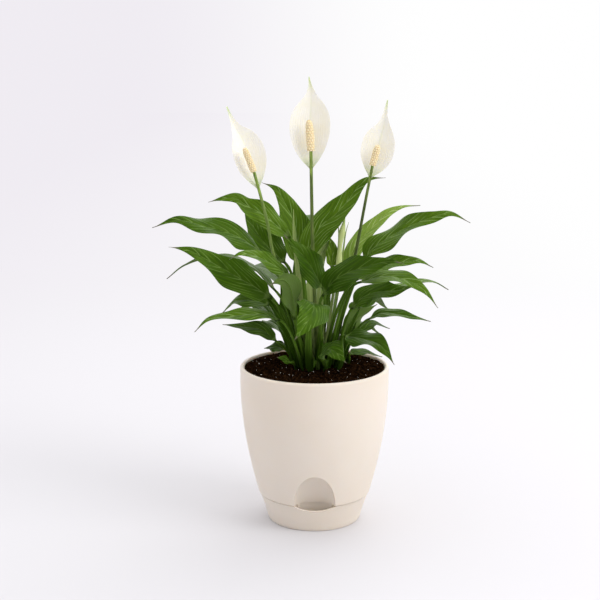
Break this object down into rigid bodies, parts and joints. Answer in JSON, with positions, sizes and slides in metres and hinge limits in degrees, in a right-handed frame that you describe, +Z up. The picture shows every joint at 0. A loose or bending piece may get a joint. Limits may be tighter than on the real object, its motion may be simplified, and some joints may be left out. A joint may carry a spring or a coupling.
{
  "type": "potted peace lily",
  "caption": "Peace lily with long-stalked glossy leaves, white hooded flowers and a bud, in a tapered cream self-watering pot with an arched watering niche, on its water tray.",
  "frame": {"origin": "centre of the water tray's flat underside, on the pot's axis", "axes": "+Z up along the pot's axis; -Y is the front, the side with the watering niche; +X is to the right seen from the front"},
  "size_m": [0.3036, 0.2444, 0.4473],
  "materials": {
    "leaf": "satin",
    "stem": "satin",
    "spathe": "matte",
    "spadix": "matte",
    "bud": "satin",
    "peat": "matte",
    "pot_plastic": "satin",
    "tray_plastic": "satin"
  },
  "bodies": {
    "root": {"leaf_left_1": "leaf", "leaf_left_2": "leaf", "leaf_left_3": "leaf", "leaf_left_4": "leaf", "leaf_left_5": "leaf", "leaf_left_6": "leaf", "leaf_left_7": "leaf", "leaf_left_8": "leaf", "leaf_left_9": "leaf", "leaf_left_10": "leaf", "leaf_left_11": "leaf", "leaf_left_12": "leaf", "leaf_middle_1": "leaf", "leaf_middle_2": "leaf", "leaf_middle_3": "leaf", "leaf_middle_4": "leaf", "leaf_middle_5": "leaf", "leaf_middle_6": "leaf", "leaf_middle_7": "leaf", "leaf_right_1": "leaf", "leaf_right_2": "leaf", "leaf_right_3": "leaf", "leaf_right_4": "leaf", "leaf_right_5": "leaf", "leaf_right_6": "leaf", "leaf_right_7": "leaf", "leaf_right_8": "leaf", "leaf_right_9": "leaf", "leaf_right_10": "leaf", "leaf_right_11": "leaf", "leaf_right_12": "leaf", "leaf_back_1": "leaf", "leaf_back_2": "leaf", "leaf_back_3": "leaf", "leaf_back_4": "leaf", "leaf_back_5": "leaf", "leaf_back_6": "leaf", "leaf_back_7": "leaf", "leaf_back_8": "leaf", "leaf_back_9": "leaf", "flower_stem_left": "stem", "spathe_left": "spathe", "spadix_left": "spadix", "flower_stem_middle": "stem", "spathe_middle": "spathe", "spadix_middle": "spadix", "flower_stem_right": "stem", "spathe_right": "spathe", "spadix_right": "spadix", "bud_right": "bud", "soil": "peat", "root_ball": "peat", "wick_soil": "peat", "pot": "pot_plastic", "wick_foot": "tray_plastic", "water_tray": "tray_plastic"}
  },
  "joints": []
}
